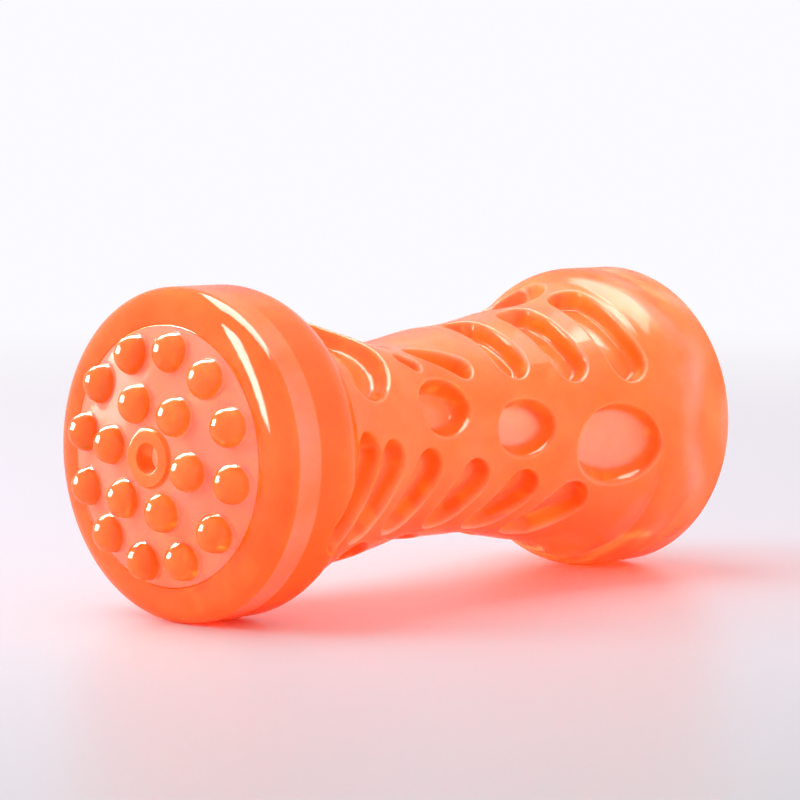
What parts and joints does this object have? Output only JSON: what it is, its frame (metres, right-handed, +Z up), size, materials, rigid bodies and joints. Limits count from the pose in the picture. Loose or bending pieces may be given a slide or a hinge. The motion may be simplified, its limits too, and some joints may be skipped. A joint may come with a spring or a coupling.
{
  "type": "dog chew stick",
  "caption": "Hollow translucent rubber dog chew stick: waisted spool body with chewing slots and dimples, domed end caps with nubs, and a reed squeaker inside.",
  "frame": {"origin": "on the ground under the middle of the stick, which lies on its two collars", "axes": "+X along the stick from the squeaker end to the plain end, +Z up"},
  "size_m": [0.1416, 0.06, 0.06],
  "materials": {
    "orange_rubber": "glossy translucent moulded thermoplastic rubber",
    "squeaker_plastic": "natural white moulded plastic",
    "reed_film": "thin clear polyester film"
  },
  "bodies": {
    "stick": {"body_shell": "orange_rubber", "front_end_cap": "orange_rubber", "rear_end_cap": "orange_rubber", "squeaker_shell": "squeaker_plastic", "squeaker_reed_bed": "squeaker_plastic", "squeaker_reed_clamp": "squeaker_plastic"},
    "reed": {"squeaker_reed": "reed_film"}
  },
  "joints": [
    {"name": "reed_flutter", "type": "hinge", "parent": "stick", "child": "reed", "pos_m": [-0.0563, 0, 0.03], "axis": [0, 1, 0], "range_deg": [-3, 8], "stiffness_Nm_per_rad": 0.0005}
  ]
}
